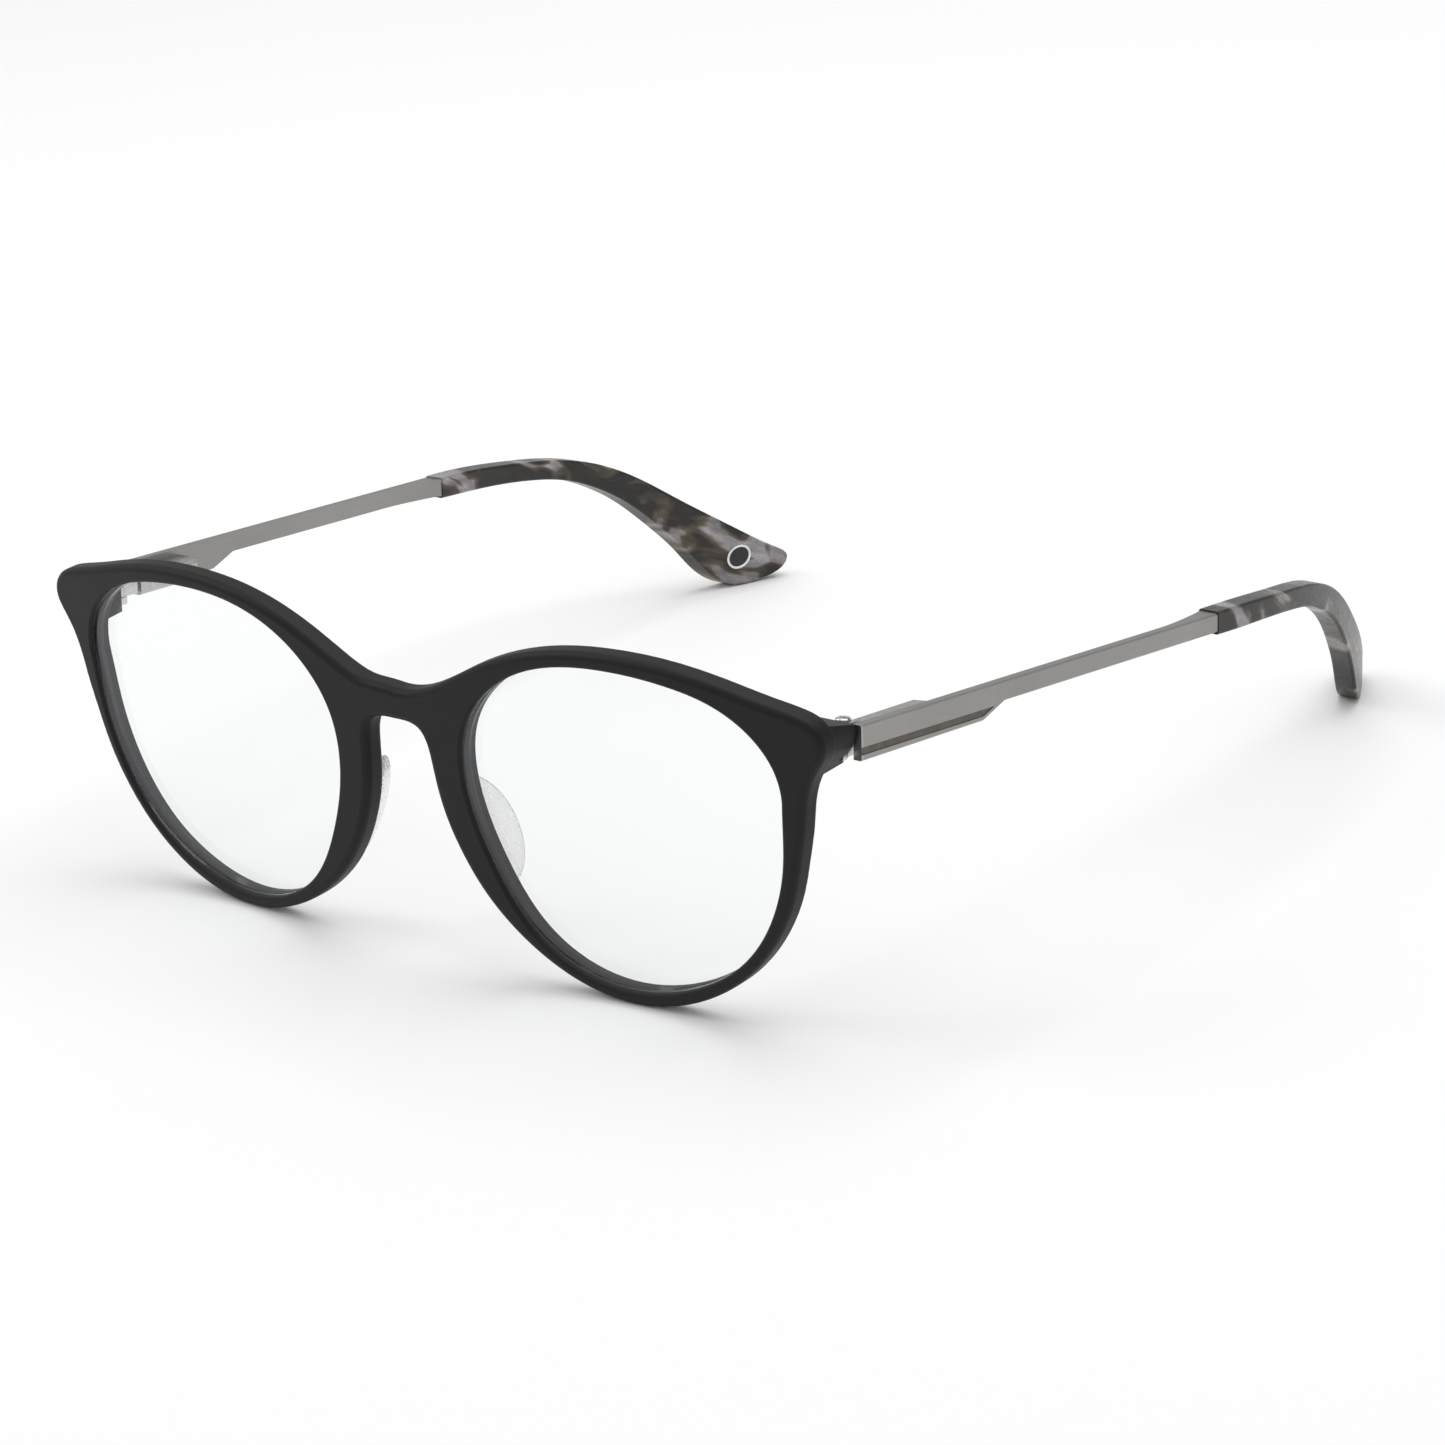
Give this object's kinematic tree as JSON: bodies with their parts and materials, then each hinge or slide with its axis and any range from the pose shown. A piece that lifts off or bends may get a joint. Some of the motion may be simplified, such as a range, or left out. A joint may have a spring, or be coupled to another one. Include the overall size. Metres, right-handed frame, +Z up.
{
  "type": "eyeglasses",
  "caption": "Eyeglasses with a matte acetate front, spring-hinged satin metal temples and bent acetate tips that fold flat.",
  "frame": {"origin": "on the floor under the middle of the open glasses, which rest on the rim bottoms and the tip ends", "axes": "+X towards the wearer's left, which is the viewer's right, +Y from the front back to the ear tips, +Z up"},
  "size_m": [0.1406, 0.1364, 0.0467],
  "materials": {
    "front_acetate": "tumbled matte black",
    "lens": "clear coated",
    "nose_pad": "clear, satin",
    "hinge_steel": "fine machined",
    "screw_steel": "polished head with slot",
    "spring_steel": "bright wire",
    "temple_metal": "satin gunmetal",
    "stripe_paint": "matt brown enamel",
    "tip_acetate": "polished dark translucent",
    "emblem_metal": "polished",
    "emblem_enamel": "gloss black enamel"
  },
  "bodies": {
    "front": {"front_frame": "front_acetate", "left_front_hinge": "hinge_steel", "left_hinge_screw": "screw_steel", "left_lens": "lens", "left_nose_pad": "nose_pad", "right_front_hinge": "hinge_steel", "right_hinge_screw": "screw_steel", "right_lens": "lens", "right_nose_pad": "nose_pad"},
    "left_carrier": {"left_spring_slider": "hinge_steel", "left_spring_stop": "hinge_steel", "left_coil_spring": "spring_steel"},
    "left_temple": {"left_hinge_box": "temple_metal", "left_temple_bar": "temple_metal", "left_temple_stripe": "stripe_paint", "left_temple_tip": "tip_acetate", "left_emblem_rim": "emblem_metal", "left_emblem_enamel": "emblem_enamel"},
    "right_carrier": {"right_spring_slider": "hinge_steel", "right_spring_stop": "hinge_steel", "right_coil_spring": "spring_steel"},
    "right_temple": {"right_hinge_box": "temple_metal", "right_temple_bar": "temple_metal", "right_temple_stripe": "stripe_paint", "right_temple_tip": "tip_acetate", "right_emblem_rim": "emblem_metal", "right_emblem_enamel": "emblem_enamel"}
  },
  "joints": [
    {"name": "left_temple_fold", "type": "hinge", "parent": "front", "child": "left_carrier", "pos_m": [0.0631, -0.05546, 0.03744], "axis": [0, 0.1141, 0.9935], "range_deg": [-1.5, 86]},
    {"name": "left_temple_flex", "type": "slide", "parent": "left_carrier", "child": "left_temple", "axis": [0.0454, 0.9924, -0.114], "range_m": [0, 0.0008], "stiffness_N_per_m": 1500, "springref_m": -0.0008, "deforming": ["left_coil_spring"]},
    {"name": "right_temple_fold", "type": "hinge", "parent": "front", "child": "right_carrier", "pos_m": [-0.0631, -0.05546, 0.03744], "axis": [0, -0.1141, -0.9935], "range_deg": [-1.5, 76]},
    {"name": "right_temple_flex", "type": "slide", "parent": "right_carrier", "child": "right_temple", "axis": [-0.0454, 0.9924, -0.114], "range_m": [0, 0.0008], "stiffness_N_per_m": 1500, "springref_m": -0.0008, "deforming": ["right_coil_spring"]}
  ]
}
